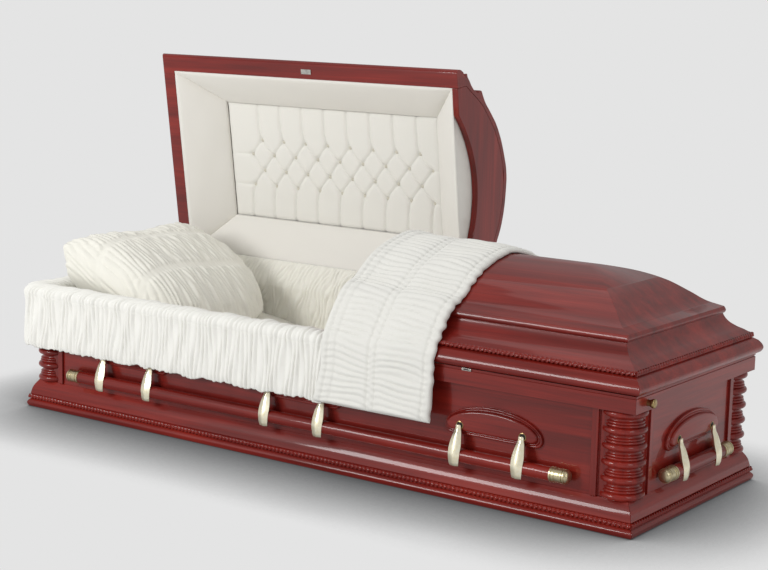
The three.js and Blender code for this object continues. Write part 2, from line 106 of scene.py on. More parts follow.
def spline(points, breaks=(), steps=6, closed=False):
    """Smooth line through the points, with corners kept at the breaks."""
    points = np.array(points, float)
    if closed:
        points = np.vstack([points[-2:], points, points[:2]])
        out = []
        for k in range(2, len(points) - 2):
            out.extend(spline_part(points[k - 1:k + 3], steps, end=False))
        return np.array(out)
    cuts = [0, *breaks, len(points) - 1]
    out = [points[0]]
    for a, b in zip(cuts, cuts[1:]):
        run = points[a:b + 1]
        longer = np.vstack([2 * run[0] - run[1], run, 2 * run[-1] - run[-2]])
        for k in range(1, len(longer) - 2):
            out.extend(spline_part(longer[k - 1:k + 3], 1 if b == a + 1 else steps))
    return np.array(out)


def spline_part(four, steps, end=True):
    """Points between the second and the third of four points."""
    a, b, c, d = four
    ts = np.arange(1, steps + 1) / steps if end else np.arange(steps) / steps
    return [0.5 * (2 * b + (c - a) * t + (2 * a - 5 * b + 4 * c - d) * t * t
                   + (3 * b - a - 3 * c + d) * t ** 3) for t in ts]


def resample(line, count):
    """The same line with evenly spaced points, and each point's distance along it."""
    line = np.asarray(line, float)
    along = np.concatenate([[0], np.cumsum(np.linalg.norm(np.diff(line, axis=0), axis=1))])
    want = np.linspace(0, along[-1], count)
    return np.stack([np.interp(want, along, line[:, k]) for k in range(line.shape[1])], -1), want


def line_normals(line):
    """Left-hand normals of a flat line."""
    d = np.gradient(np.asarray(line, float), axis=0)
    d /= np.linalg.norm(d, axis=1, keepdims=True) + 1e-9
    return np.stack([-d[:, 1], d[:, 0]], -1)


def surface_normals(p):
    """Normals of a grid of points."""
    a, b = np.gradient(p, axis=0), np.gradient(p, axis=1)
    n = np.cross(a, b)
    return n / (np.linalg.norm(n, axis=-1, keepdims=True) + 1e-9)


def facing(normals, sample, direction):
    """The normals, all turned over if the sample one points against the direction."""
    return -normals if normals[sample] @ np.array(direction, float) < 0 else normals


def grid(points, wrap_rows=False, wrap_cols=False, caps=False):
    """Mesh of a grid of points. Caps close its first and last row."""
    rows, cols = points.shape[:2]
    r, c = np.meshgrid(np.arange(rows if wrap_rows else rows - 1),
                       np.arange(cols if wrap_cols else cols - 1), indexing="ij")
    r2, c2 = (r + 1) % rows, (c + 1) % cols
    faces = np.stack([r * cols + c, r * cols + c2, r2 * cols + c2, r2 * cols + c], -1)
    faces = faces.reshape(-1, 4).tolist()
    if caps:
        faces += [list(range(cols)), list(range((rows - 1) * cols, rows * cols))]
    return points.reshape(-1, 3), faces


def solid(rows):
    """Closed mesh of a grid whose rows are rings."""
    return grid(np.array(rows), wrap_cols=True, caps=True)


def together(*parts):
    """Several meshes as one."""
    points, faces, start = [], [], 0
    for p, f in parts:
        points.append(np.asarray(p, float).reshape(-1, 3))
        faces += [[i + start for i in face] for face in f]
        start += len(points[-1])
    return np.vstack(points), faces


def turned(profile, segments=40):
    """Round body about the X axis. Profile is [x, radius]."""
    profile = np.asarray(profile, float)
    a = np.arange(segments) / segments * 2 * math.pi
    x = np.repeat(profile[:, :1], segments, 1)
    return solid(np.stack([x, profile[:, 1:] * np.cos(a), profile[:, 1:] * np.sin(a)], -1))


def box_mesh(low, high):
    (x0, y0, z0), (x1, y1, z1) = low, high
    return solid([[[x0, y0, z], [x1, y0, z], [x1, y1, z], [x0, y1, z]] for z in (z0, z1)])


def extruded(outline, place, low, high):
    """A flat outline carried from low to high: place(a, b, c) gives the points."""
    outline = np.asarray(outline, float)
    return solid([place(outline[:, 0], outline[:, 1], c) for c in (low, high)])


def waves(u, v, size_u, size_v, seed, count=6):
    """Smooth uneven field, mostly between -1 and 1, with lumps about size_u by size_v."""
    r = np.random.default_rng(seed)
    total = 0.0
    for _ in range(count):
        a, b = r.uniform(0.45, 1.5, 2) * r.choice([-1, 1], 2)
        total = total + np.sin(2 * math.pi * (a * u / size_u + b * v / size_v + r.uniform()))
    return total / math.sqrt(count) * 0.8


def gathers(along, down, pitch, seed, length, wander, sharp):
    """Height from 0 to 1 of gathered cloth. Folds run down it, one every pitch along it."""
    phase = along / pitch + wander * waves(along, down, pitch * 6, length, seed)
    lobes = np.abs(np.sin(math.pi * phase)) ** sharp
    depth = 0.7 + 0.3 * waves(along, down, pitch * 3.1, length * 0.7, seed + 1)
    return lobes * np.clip(depth, 0.15, 1.1)


def fade(distance, width):
    """Rises from 0 to 1 over a width."""
    return np.clip(distance / width, 0, 1)


# Materials

def new_material(name):
    m = bpy.data.materials.new(name)
    m.use_nodes = True
    return m, m.node_tree.nodes, m.node_tree.links, m.node_tree.nodes["Principled BSDF"]


def linear(*srgb):
    """A screen colour, 0 to 255, as the linear colour that the nodes take."""
    return [((v / 255 + 0.055) / 1.055) ** 2.4 if v > 10 else v / 255 / 12.92
            for v in srgb] + [1.0]


def tune(node, **values):
    """Sets a node's inputs. An underscore in a name stands for a space."""
    for name, value in values.items():
        node.inputs[name.replace("_", " ")].default_value = value


def streaks(nodes, links, scale, detail, distortion=0.0):
    """Noise over the object, with a scale for each axis: a small one draws it out."""
    place = nodes.new("ShaderNodeTexCoord").outputs["Object"]
    mapping = nodes.new("ShaderNodeMapping")
    tune(mapping, Scale=scale)
    links.new(place, mapping.inputs["Vector"])
    noise = nodes.new("ShaderNodeTexNoise")
    tune(noise, Scale=1.0, Detail=detail, Distortion=distortion)
    links.new(mapping.outputs["Vector"], noise.inputs["Vector"])
    return noise.outputs["Fac"]


def along_axis(axis, along, across):
    return [along if k == axis else across for k in range(3)]


def maths(nodes, links, operation, *values):
    """A math node. Each value is a number or the output of another node."""
    node = nodes.new("ShaderNodeMath")
    node.operation = operation
    for socket, value in zip(node.inputs, values):
        if isinstance(value, float):
            socket.default_value = value
        else:
            links.new(value, socket)
    return node.outputs[0]


def ramp(nodes, links, factor, target, first, last, between=()):
    """Colours a target by a factor. Each stop is a position and a colour."""
    node = nodes.new("ShaderNodeValToRGB")
    elements = node.color_ramp.elements
    elements[0].position, elements[0].color = first
    elements[1].position, elements[1].color = last
    for position, colour in between:
        elements.new(position).color = colour
    links.new(factor, node.inputs["Fac"])
    links.new(node.outputs["Color"], target)


def bump(nodes, links, height, shader, strength, distance):
    node = nodes.new("ShaderNodeBump")
    tune(node, Strength=strength, Distance=distance)
    links.new(height, node.inputs["Height"])
    links.new(node.outputs["Normal"], shader.inputs["Normal"])


def wood(axis):
    """Stained, lacquered cherry with its grain along one axis."""
    m, nodes, links, shader = new_material("cherry_wood_" + "xyz"[axis])
    broad = streaks(nodes, links, along_axis(axis, 1.5, 16.0), 4, 0.3)
    fine = streaks(nodes, links, along_axis(axis, 5.0, 210.0), 3)
    figure = streaks(nodes, links, along_axis(axis, 2.4, 40.0), 3, 0.5)
    mixed = maths(nodes, links, "MULTIPLY", fine, 0.22)
    mixed = maths(nodes, links, "MULTIPLY_ADD", broad, 0.45, mixed)
    mixed = maths(nodes, links, "MULTIPLY_ADD", figure, 0.33, mixed)
    ramp(nodes, links, mixed, shader.inputs["Base Color"], (0.3, linear(72, 14, 10)),
         (0.72, linear(147, 38, 25)), between=[(0.5, linear(114, 23, 15))])
    tune(shader, Roughness=0.4, Specular_IOR_Level=0.2, Coat_Weight=0.5, Coat_Roughness=0.06)
    bump(nodes, links, fine, shader, 0.12, 0.0004)
    return m


def fabric(name, colour, nap):
    """Matt cloth with a fine weave. Nap is the strength of its sheen."""
    m, nodes, links, shader = new_material(name)
    tune(shader, Base_Color=colour, Roughness=0.92, Specular_IOR_Level=0.25, Sheen_Weight=nap,
         Sheen_Roughness=0.5)
    bump(nodes, links, streaks(nodes, links, [900.0] * 3, 2), shader, 0.35, 0.0003)
    return m


def metal(name, light, dark, roughness):
    """Satin metal, darker in patches."""
    m, nodes, links, shader = new_material(name)
    patina = streaks(nodes, links, [120.0] * 3, 4)
    ramp(nodes, links, patina, shader.inputs["Base Color"], (0.35, dark), (0.6, light))
    tune(shader, Metallic=1.0, Roughness=roughness)
    return m


WOOD_X, WOOD_Y, WOOD_Z = wood(0), wood(1), wood(2)
VELVET = fabric("ivory_crepe", linear(236, 235, 229), nap=0.3)
QUILT = fabric("ivory_quilt", linear(226, 225, 219), nap=0.25)
LINING = fabric("ivory_lining", linear(234, 232, 222), nap=0.25)
PUFF = fabric("ivory_puff", linear(228, 225, 218), nap=0.2)
TUFT = fabric("ivory_tufting", linear(229, 227, 220), nap=0.2)
BUTTON = fabric("ivory_buttons", linear(206, 202, 188), nap=0.1)
GOLD = metal("satin_gold", linear(252, 246, 222), linear(246, 236, 204), 0.36)
BRASS = metal("antique_brass", linear(172, 150, 106), linear(136, 115, 78), 0.3)
FERRULE = metal("pale_brass", linear(206, 194, 160), linear(192, 179, 144), 0.34)
STEEL = metal("plate_steel", linear(190, 188, 182), linear(165, 163, 158), 0.3)
# Near-black for the socket holes and the latch slot: painted shade that stands for the dark inside
# these openings.
PAINTED_SHADE, _, _, opening_shade_shader = new_material("painted_opening_shade")
tune(opening_shade_shader, Base_Color=linear(14, 8, 7), Roughness=0.6)


def grain(side):
    return WOOD_X if side in LONG_SIDES else WOOD_Y


# Pieces

def soften(obj, width):
    """Rounded edges, width in millimetres."""
    bevel = obj.modifiers.new("rounded_edges", "BEVEL")
    bevel.width, bevel.segments = width * MM, 2
    bevel.limit_method, bevel.angle_limit = "ANGLE", math.radians(35)
    bevel.harden_normals = True


def piece(name, mesh_parts, surface, finish, body="root", replaces=(), crease=35.0,
          rounded=0.0, thick=0.0, loose=False):
    """Makes one shown piece from points in millimetres and its faces.

    Edges sharper than the crease, in degrees, stay sharp. A loose piece rides on no body here: it
    lies between two.
    """
    points, faces = mesh_parts
    mesh = bpy.data.meshes.new(name)
    mesh.from_pydata((np.asarray(points, float) * MM).tolist(), [], faces)
    build = bmesh.new()
    build.from_mesh(mesh)
    bmesh.ops.remove_doubles(build, verts=build.verts, dist=2e-6)
    bmesh.ops.recalc_face_normals(build, faces=build.faces)
    build.to_mesh(mesh)
    build.free()
    mesh.polygons.foreach_set("use_smooth", [True] * len(mesh.polygons))
    if crease < 180:
        mesh.set_sharp_from_angle(angle=math.radians(crease))
    mesh.materials.append(surface)
    obj = bpy.data.objects.new(name, mesh)
    bpy.context.scene.collection.objects.link(obj)
    if rounded:
        soften(obj, rounded)
    if thick:
        shell = obj.modifiers.new("thickness", "SOLIDIFY")
        shell.thickness, shell.offset = thick * MM, 0.0
    if not loose:
        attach(obj, body)
    if replaces:
        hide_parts(*replaces)
    return obj


def wooden(name, mesh, surface, body="root", **more):
    return piece(name, mesh, surface, "cherry_wood", body, **more)


def soft(name, mesh, surface, body="root", crease=180, **more):
    return piece(name, mesh, surface, "ivory_fabric", body, crease=crease, **more)


def dress(node, surface, rounded=0.0):
    """A CAD node shown as it is, with its finish and slightly rounded edges."""
    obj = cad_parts[node]
    obj.data.materials.clear()
    obj.data.materials.append(surface)
    if rounded:
        soften(obj, rounded)


# Body: base with its carved rope, walls, rails and corner columns. A line is [inset, height].

ROPE_RADIUS, ROPE_STEP, ROPE_LAY = 7.0, 1.6, 39.0
BASE_ROPE_INSET, BASE_ROPE_Z, BASE_ROPE_END = 7.6, 31.0, 6
MITRE_GAP = 0.3
BASE = [(6, 0), (2.6, 3.4), (0, 10.9), (2, 16.8), (7.5, 22.5), (10, 25), (10, 37), (8, 39.5),
        (9.7, 46.2), (12.7, 58), (18, 68.9), (24.8, 79), (28, 84)]
base_line = np.vstack([spline(BASE, breaks=(4, 5, 6, 7)), [[INNER_INSET, 84], [INNER_INSET, 0]]])


def rope(side, ends, inset, z):
    """Rope moulding of three strands along one side."""
    u = np.arange(ends[0], ends[1] + ROPE_STEP, ROPE_STEP)
    a = np.arange(12) / 12 * 2 * math.pi
    uu, aa = np.meshgrid(u, a, indexing="ij")
    strands = np.abs(np.cos(1.5 * (aa - 2 * math.pi * uu / ROPE_LAY))) ** 0.7
    r = ROPE_RADIUS * (0.4 + 0.6 * strands)
    return solid(on_side(side, uu, inset - r * np.cos(aa), z + r * np.sin(aa)))


def mitred(side, line):
    """A profile swept along one side, mitred at the corners."""
    run = run_of(side) - line[:, 0] - MITRE_GAP
    return solid([on_side(side, s * run, line[:, 0], line[:, 1]) for s in (-1, 1)])


for side in SIDES:
    reach = run_of(side) - BASE_ROPE_END
    wooden(f"base_{side}", mitred(side, base_line), grain(side),
           replaces=[f"base_moulding_{side}"], rounded=0.8)
    wooden(f"base_rope_{side}", rope(side, (-reach, reach), BASE_ROPE_INSET, BASE_ROPE_Z),
           grain(side), crease=60)
    dress(f"wall_panel_{side}", grain(side))
    dress(f"top_rail_{side}", grain(side), rounded=1.0)
dress("floor_board", WOOD_X)

COLUMN_CENTRE, COLUMN_RECESS, COLUMN_BACK = 66.0, 30.0, 42
COLUMN_TURNS = 5.4
# The beads of one turn: height and inset of the centre, radius, half the arc in degrees, points.
COLUMN_BEADS = ((0.0, 18.2, 8.2, 80, 13), (12.4, 19.7, 3.6, 75, 7), (19.6, 20.8, 3.3, 75, 7))
COLUMN_HOLLOW = [(24.4, 22.4), (28.0, 23.2), (31.4, 21.6)]
# Section of the strip and the recess beside the column, as insets from the two sides.
COLUMN_WING = [(134, 44), (134, 22), (116, 22), (116, COLUMN_RECESS), (88, COLUMN_RECESS), (88, 40)]
# Each corner with the signs of its X and Y, and the cosine and sine of its turn.
CORNERS = (("front_foot", 1, -1, (1, 0)), ("back_foot", 1, 1, (0, 1)),
           ("back_head", -1, 1, (-1, 0)), ("front_head", -1, -1, (0, -1)))


def column_line():
    """Height and inset of the turned column's surface, bottom to top."""
    pitch = (WALL_HIGH - WALL_LOW) / COLUMN_TURNS
    one = []
    for height, inset, radius, arc_half, count in COLUMN_BEADS:
        for a in np.radians(np.linspace(-arc_half, arc_half, count)):
            one.append((height + radius * math.sin(a), inset - radius * math.cos(a)))
    one += COLUMN_HOLLOW
    line = []
    for k in range(6):
        centre = WALL_LOW + (k + 0.2) * pitch
        line += [(centre + dz, inset) for dz, inset in one]
    line = [p for p in line if WALL_LOW < p[0] < WALL_HIGH]
    return [(WALL_LOW, line[0][1])] + line + [(WALL_HIGH, line[-1][1])]


def upright(a, b, c):
    return np.stack([a, b, np.full_like(a, c)], -1)


def column_rings():
    """Column of one corner. X and Y are insets from the two sides that meet there."""
    rows = []
    for z, inset in column_line():
        r = COLUMN_CENTRE - inset
        last = math.acos((COLUMN_CENTRE - COLUMN_RECESS - 2) / r)
        a = np.linspace(-last, math.pi / 2 + last, 37)
        u, v = COLUMN_CENTRE - r * np.sin(a), COLUMN_CENTRE - r * np.cos(a)
        u, v = (np.concatenate([u[:1], u, [COLUMN_BACK, COLUMN_BACK]]),
                np.concatenate([[COLUMN_BACK], v, [u[0], COLUMN_BACK]]))
        rows.append(upright(u, v, z))
    return solid(rows)


def column_backing():
    wings = (COLUMN_WING, [(v, u) for u, v in COLUMN_WING])
    return together(*(extruded(wing, upright, WALL_LOW, WALL_HIGH) for wing in wings))


def at_corner(mesh, sx, sy, turn):
    """A mesh drawn in insets from a corner of the body, put on that corner."""
    p, f = mesh
    x, y = -p[:, 0], p[:, 1]
    c, s = turn
    return np.stack([sx * HALF_L + c * x - s * y, sy * HALF_W + s * x + c * y, p[:, 2]], -1), f


rings, backing = column_rings(), column_backing()
for name, *corner in CORNERS:
    wooden(f"column_{name}", at_corner(rings, *corner), WOOD_Z,
           replaces=[f"corner_column_{name}"], crease=60)
    wooden(f"column_back_{name}", at_corner(backing, *corner), WOOD_Z, rounded=1.0)


# Handles, and the lock knob. PLATE_STEPS is how far in from the outline, and the inset there.

PLATE_HALF, PLATE_LOW, PLATE_HIGH, PLATE_CORNER = 146.0, 174.0, 256.0, 18
PLATE_STEPS = [(0, 27.7), (0, 22.5), (0.8, 20.8), (2.6, 20), (4.6, 20.2), (5.8, 21.4), (6.6, 19.6),
               (8.4, 18.6), (10, 19), (10.8, 19.8), (11.4, 17), (12.6, 14), (14.4, 12.5), (17, 12)]
PLATE_SPACING, ARM_OFFSET = 632.5, 94.0
PIVOT_Z, SOCKET_Z = 197.0, 199.0
BAR_INSET, BAR_Z, BAR_R, BAR_IN_FERRULE = 5.0, 123.0, 18.0, 50
LONG_BAR_HALF, END_BAR_HALF = 871.0, 189.0
# Leaf arm, downward: height from the pivot, inset of the back and of the ridge, half width.
ARM = [(5, 7.9, 5.4, 4), (3, 10, 3, 6), (-4, 11, 2, 6.5), (-12, 9.5, -1, 8.5),
       (-25, 5, -7, 11.5), (-46, -1, -13.5, 14.5), (-62, -6, -17.5, 14.5), (-74, -8, -18.5, 14),
       (-90, -8, -17, 12.5), (-97, -7, -15, 11.6), (-100, -6, -13.5, 11)]
ARM_WIDER = 1.2
ARM_SECTION = np.array([-0.96, -1.0, -0.5, -0.07, 0.07, 0.5, 1.0, 0.96, 0.86, -0.86])
# Ferrule: distance from the end of the bar, radius.
FERRULE_LINE = [(0, 4), (0.6, 9), (2.2, 13), (5, 15.8), (8, 17), (9.4, 17.2), (9.8, 19.4),
                (13.4, 19.4), (13.8, 17.4), (16.2, 17.4), (16.6, 19), (20.8, 19), (21.2, 18.2),
                (24, 18.4), (24.4, 19), (26.2, 19), (26.6, 18.2), (37.6, 18.4), (38, 19.8),
                (42.4, 19.8), (42.8, 18.3), (46.6, 18.3), (47, 19.9), (51.6, 19.9), (52, 18.3),
                (52, 17)]
# Thin disc inside each brass socket ring, coloured in painted shade to stand for the hole.
SOCKET_HOLE_SHADE = turned([(12.6, 8.6), (11.9, 8.6)], 24)
SOCKET_RING = turned([(12.6, 11.2), (11.6, 10.9), (11.2, 9.9), (11.6, 8.8), (12.6, 8.4)], 24)
KNOB_LINE = [(10.6, 8), (2.5, 8), (2, 9.5), (0.5, 9.5), (0, 8), (-1, 8), (-1.5, 11), (-2.5, 11.4),
             (-7.5, 11.4), (-8.6, 10.8), (-9.6, 9), (-10, 6)]
KNOB_Y, KNOB_Z = -280, 327


def plate_outline():
    """D shape: two rounded lower corners and a half ellipse over them."""
    low, small = PLATE_LOW + PLATE_CORNER, (PLATE_CORNER, PLATE_CORNER)
    return np.vstack([arc((PLATE_HALF - PLATE_CORNER, low), small, np.linspace(-90, 0, 7)),
                      arc((0, low), (PLATE_HALF, PLATE_HIGH - low), np.arange(4, 180, 4)),
                      arc((PLATE_CORNER - PLATE_HALF, low), small, np.linspace(180, 270, 7))])


def plate_mesh(side, x):
    outline = plate_outline()
    middle = (PLATE_LOW + PLATE_HIGH) / 2
    rows = []
    for inward, inset in PLATE_STEPS:
        sx = (PLATE_HALF - inward) / PLATE_HALF
        sz = (PLATE_HIGH - middle - inward) / (PLATE_HIGH - middle)
        z = middle + (outline[:, 1] - middle) * sz
        rows.append(on_side(side, x + outline[:, 0] * sx, inset, z))
    return solid(rows)


def arm_mesh(side, x):
    rows = []
    for rise, back, front, wide in spline(ARM, steps=5):
        edge = front + 0.5 * (back - front) * min(1.0, wide / 9.0)
        lip = edge + 0.16 * (back - front)
        slope = front + 0.42 * (edge - front)
        inset = np.array([lip, edge, slope, front, front, slope, edge, lip, back, back])
        rows.append(on_side(side, x + ARM_WIDER * wide * ARM_SECTION, inset, PIVOT_Z + rise))
    return solid(rows)


def as_bar(mesh, side):
    """A body turned about its own X axis, lying along a side as the bar does."""
    p, f = mesh
    return on_side(side, p[:, 0], BAR_INSET + p[:, 1], BAR_Z + p[:, 2]), f


def in_socket(mesh, side, x):
    """A body turned about its own X axis, pointing out of a socket. Its X is the inset."""
    p, f = mesh
    return on_side(side, x + p[:, 1], p[:, 0], SOCKET_Z + p[:, 2]), f


for side in SIDES:
    long = side in LONG_SIDES
    body = side + "_handle"
    half = LONG_BAR_HALF if long else END_BAR_HALF
    for i, x in enumerate((-PLATE_SPACING, 0.0, PLATE_SPACING) if long else (0.0,)):
        tag = f"{side}_{i + 1}" if long else side
        wooden(f"plate_{tag}", plate_mesh(side, x), grain(side),
               replaces=[f"handle_plate_{tag}"], crease=50)
        for j, offset in enumerate((-ARM_OFFSET, ARM_OFFSET)):
            tag = f"{side}_{2 * i + j + 1}"
            piece(f"arm_{tag}", arm_mesh(side, x + offset), GOLD, "satin_gold", body,
                  replaces=[f"handle_arm_{tag}"], crease=22)
            # Dark disc in painted shade inside the ring, standing for the socket hole.
            piece(f"socket_{tag}", in_socket(SOCKET_HOLE_SHADE, side, x + offset), PAINTED_SHADE, "antique_brass")
            piece(f"socket_ring_{tag}", in_socket(SOCKET_RING, side, x + offset), BRASS,
                  "antique_brass")
    rod = turned([(s * (half - BAR_IN_FERRULE), BAR_R) for s in (-1, 1)], 48)
    wooden(f"bar_{side}", as_bar(rod, side), grain(side), body, replaces=[f"handle_bar_{side}"])
    ferrules = [turned([(s * (half - d), r) for d, r in FERRULE_LINE]) for s in (-1, 1)]
    piece(f"ferrules_{side}", as_bar(together(*ferrules), side), FERRULE, "antique_brass", body,
          crease=50)

p, f = turned(KNOB_LINE, 36)
knob = np.stack([HALF_L - p[:, 0], KNOB_Y + p[:, 1], KNOB_Z + p[:, 2]], -1)
piece("lock_knob_brass", (knob, f), BRASS, "antique_brass", replaces=["lock_knob"], crease=40)


# Lids. Their lines are [inset, height above the underside of the lid].

MOULDING = [(7, 0), (1.5, 1.2), (-2.4, 6), (-4.9, 14), (-1.5, 24), (6, 34), (17, 41), (23, 44),
            (23, 55), (30, 60), (38, 65.5), (51, 73), (66, 85), (75, 97), (80, 108), (76, 112),
            (74.5, 118), (78, 127)]
DOME = [(78, 127), (115, 144), (150, 170), (196, 201), (254, 225), (320, 241), (345, 244),
        (352.5, 244)]
lid_line = np.vstack([spline(MOULDING, breaks=(5, 6, 7, 8, 9, 14), steps=5),
                      spline(DOME, steps=8)[1:]])
inside_line = np.array([(48, 0), (48, 45), (100, 107)] + [(a + 9, b - 13) for a, b in DOME[1:5]]
                       + [(320, 225), (352.5, 228)], float)
LID_ROPE_INSET, LID_ROPE_RISE, LID_ROPE_END = 19.6, 49.5, 20
ARCH_HALF, ARCH_HIGH, HEADER_THICK, HEADER_GAP = 225, 79, 20, 0.6


def lid_mesh(split, toward):
    """Hollow lid: its outline swept along the front, round the end and back along the rear."""
    loop = np.vstack([lid_line, inside_line[::-1]])
    inset, z = loop[:, 0], LID_BOTTOM + loop[:, 1]
    y, far = HALF_W - inset, toward * (HALF_L - inset)
    at = np.full_like(inset, split)
    rows = ((at, -y, z), (far, -y, z), (far, y, z), (at, y, z))
    return solid([np.stack(row, -1) for row in rows])


def lid_rope(split, toward):
    """Ropes along both long sides and round the end of a lid."""
    across = HALF_W - LID_ROPE_END
    runs = [(side, sorted((s * toward * split, s * (HALF_L - LID_ROPE_END))))
            for side, s in (("front", toward), ("back", -toward))]
    runs.append(("foot" if toward > 0 else "head", (-across, across)))
    return together(*(rope(side, ends, LID_ROPE_INSET, LID_BOTTOM + LID_ROPE_RISE)
                      for side, ends in runs))


def header_mesh(split, toward):
    """Board across the open end of a lid, with an arch cut from its lower edge."""
    arch = [(t * ARCH_HALF, ARCH_HIGH * (1 - t * t)) for t in np.linspace(-1, 1, 41)]
    edge = [(HALF_W - a - HEADER_GAP, max(b - HEADER_GAP, 0)) for a, b in inside_line[:-1]]
    outline = arch + edge + [(-a, b) for a, b in edge[::-1]]
    return extruded(outline, lambda a, b, c: np.stack([np.full_like(a, c), a, LID_BOTTOM + b], -1),
                    split, split + toward * HEADER_THICK)


def lid_pieces(end, split, toward, header_wood, place):
    body = end + "_lid"
    wooden(body, place(lid_mesh(split, toward)), WOOD_X, body, replaces=[body + "_shell"],
           crease=38, rounded=0.9)
    wooden(body + "_rope", place(lid_rope(split, toward)), WOOD_X, body, crease=60)
    wooden(end + "_header", place(header_mesh(split, toward)), header_wood, body,
           replaces=[body + "_header"], rounded=1.2)


lid_pieces("head", HEAD_SPLIT, -1, WOOD_Z, swung)
lid_pieces("foot", FOOT_SPLIT, 1, WOOD_Y, lambda mesh: mesh)
dress("hinge_head", BRASS, 0.6)
dress("hinge_foot", BRASS, 0.6)
dress("head_lid_catch_plate", STEEL, 0.4)

# Latch plate and its slot under the front edge of the foot lid, as the corners of two boxes. The
# slot is a thin box in painted shade that stands for the dark opening.
LATCH_PLATE = ((541, -HALF_W + 9.2, 344.5), (569, -HALF_W + 13, 351))
LATCH_SLOT_SHADE = ((547, -HALF_W + 8.9, 346.4), (563, -HALF_W + 11, 349.4))
piece("latch_plate", box_mesh(*LATCH_PLATE), STEEL, "plate_steel", rounded=0.4)
# The slot box is painted shade.
piece("latch_slot_shade", box_mesh(*LATCH_SLOT_SHADE), PAINTED_SHADE, "plate_steel")


# Head lid padding, drawn with the lid shut: four sloped cushions round a tufted panel.

RIM = 48.3
PUFF_OUT_Z, PUFF_IN_Z = 357.0, 458.0
PUFF_X0, PUFF_X1, PUFF_Y = -HALF_L + RIM, 85.7, HALF_W - RIM
TUFT_X0, TUFT_X1, TUFT_Y = PUFF_X0 + 127, PUFF_X1 - 127, PUFF_Y - 113
SLOPE = 150.0
PUFF_SWELL, PUFF_UNEVEN = 9.0, 1.3


def ring_of(x0, x1, y, z):
    return np.array([(x0, -y, z), (x1, -y, z), (x1, y, z), (x0, y, z)], float)


def puff_side(outer_a, outer_b, inner_a, inner_b, seed):
    """One sloped cushion between an outer and an inner edge."""
    s = np.linspace(0, 1, 90)[:, None, None]
    t = np.linspace(0, 1, 26)[None, :, None]
    p = (outer_a * (1 - s) + outer_b * s) * (1 - t) + (inner_a * (1 - s) + inner_b * s) * t
    n = facing(surface_normals(p), (45, 13), (0, 0, -1))
    length = np.linalg.norm(outer_b - outer_a)
    ss, tt = np.broadcast_arrays(s[..., 0] * length, t[..., 0] * SLOPE)
    edge = np.minimum(ss, length - ss) * 0.55
    across = np.clip(np.sin(math.pi * tt / SLOPE), 0, 1)
    swell = PUFF_SWELL * (1 - np.exp(-edge / 16)) * across ** 0.35
    uneven = PUFF_UNEVEN * waves(ss, tt, 300, 160, seed) * (1 - np.exp(-edge / 30))
    return grid(p + n * (swell + uneven * across)[..., None])


outer = ring_of(PUFF_X0, PUFF_X1, PUFF_Y, PUFF_OUT_Z)
inner = ring_of(TUFT_X0, TUFT_X1, TUFT_Y, PUFF_IN_Z)
cushions = [puff_side(outer[a], outer[b], inner[a], inner[b], 40 + a)
            for a, b in ((0, 1), (1, 2), (2, 3), (3, 0))]
puff = soft("lid_puff", swung(together(*cushions)), PUFF, "head_lid", crease=60,
            replaces=["head_lid_puff"], thick=3)


END_CLOTH_X, END_CLOTH_HALF, END_CLOTH_HIGH = 84.0, 236, 86.0
END_CLOTH_BELLY, END_CLOTH_UNEVEN, END_CLOTH_RISE = 3.0, 1.2, 1.5


def end_cloth_mesh():
    """Cloth behind the arched opening in the end board of the head lid."""
    t, v = np.meshgrid(np.linspace(-1, 1, 61), np.linspace(0, 1, 14), indexing="ij")
    belly = np.sin(math.pi * v)
    uneven = END_CLOTH_UNEVEN * waves(t * 230, v * 80, 60, 90, 47)
    x = END_CLOTH_X - END_CLOTH_BELLY * belly - uneven * belly
    z = LID_BOTTOM + END_CLOTH_RISE + END_CLOTH_HIGH * (1 - t ** 2) * v
    return grid(np.stack([x, t * END_CLOTH_HALF, z], -1))


end_cloth = soft("lid_end_cloth", swung(end_cloth_mesh()), PUFF, "head_lid", thick=1)

PITCH_X, TUFT_MIDDLE = 89.5, -430.0
# Rows of buttons from the front: distance from the hinge and how many.
ROWS = [(431, 8), (382, 9), (329.5, 8), (280, 9)]
buttons = [[(TUFT_MIDDLE + (k - (n - 1) / 2) * PITCH_X, HINGE_Y - away) for k in range(n)]
           for away, n in ROWS]
TUFT_Z, BUTTON_Z = 464.5, 466.5
TUFT_SWELL, CREASE_DEPTH, CREASE_WIDTH = 8.5, 11.0, 4.8
PIT_DEPTH, PIT_SPREAD = 4.5, 90.0
BUTTON_LINE = [(0, 0.5), (0, 5.6), (1.6, 5.2), (3.0, 3.4), (3.6, 0.8)]


def creases():
    """Fold lines between buttons: (start, end, depth at the start, depth at the end)."""
    lines = []
    for above, below in zip(buttons, buttons[1:]):
        for a in above:
            lines += [(a, b, 1.0, 1.0) for b in below if abs(a[0] - b[0]) < PITCH_X * 0.6]
    for row, (bx, by), (ex, ey) in ((buttons[0], (-6, -35), (-5, -TUFT_Y - 4)),
                                    (buttons[-1], (-8, 40), (-14, TUFT_Y + 4))):
        for x, y in row:
            bend = (x + bx, y + by)
            lines += [((x, y), bend, 1.0, 0.9), (bend, (x + ex, ey), 0.9, 0.7)]
    for row in (buttons[1], buttons[3]):
        lines.append((row[0], (TUFT_X0, row[0][1]), 0.6, 0.15))
        lines.append((row[-1], (TUFT_X1, row[-1][1]), 0.5, 0.15))
    return lines


